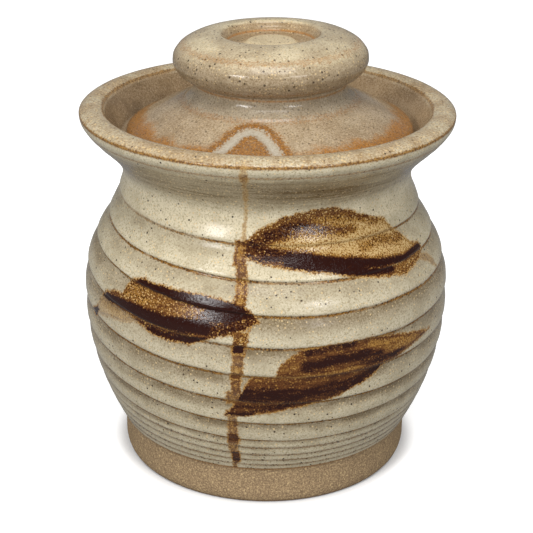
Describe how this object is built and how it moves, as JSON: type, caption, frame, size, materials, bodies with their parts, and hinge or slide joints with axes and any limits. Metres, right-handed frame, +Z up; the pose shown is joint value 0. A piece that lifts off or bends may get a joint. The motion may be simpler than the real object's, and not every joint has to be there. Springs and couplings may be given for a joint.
{
  "type": "lidded stoneware jar",
  "caption": "Round thrown stoneware jar with finger ridges, a flared rim and a domed lid with a bun-shaped knob that rests in a ledge inside the rim.",
  "frame": {"origin": "centre of the flat underside the jar stands on", "axes": "+Z up the jar's axis towards the knob, -Y the front with the brushwork, +X the right as seen from the front"},
  "size_m": [0.1315, 0.1316, 0.1559],
  "materials": {
    "glazed_stoneware": "satin gloss oatmeal glaze with iron specks, brown brushwork on the body, bare speckled clay at the foot"
  },
  "bodies": {
    "root": {"jar": "glazed_stoneware", "lid": "glazed_stoneware"}
  },
  "joints": []
}
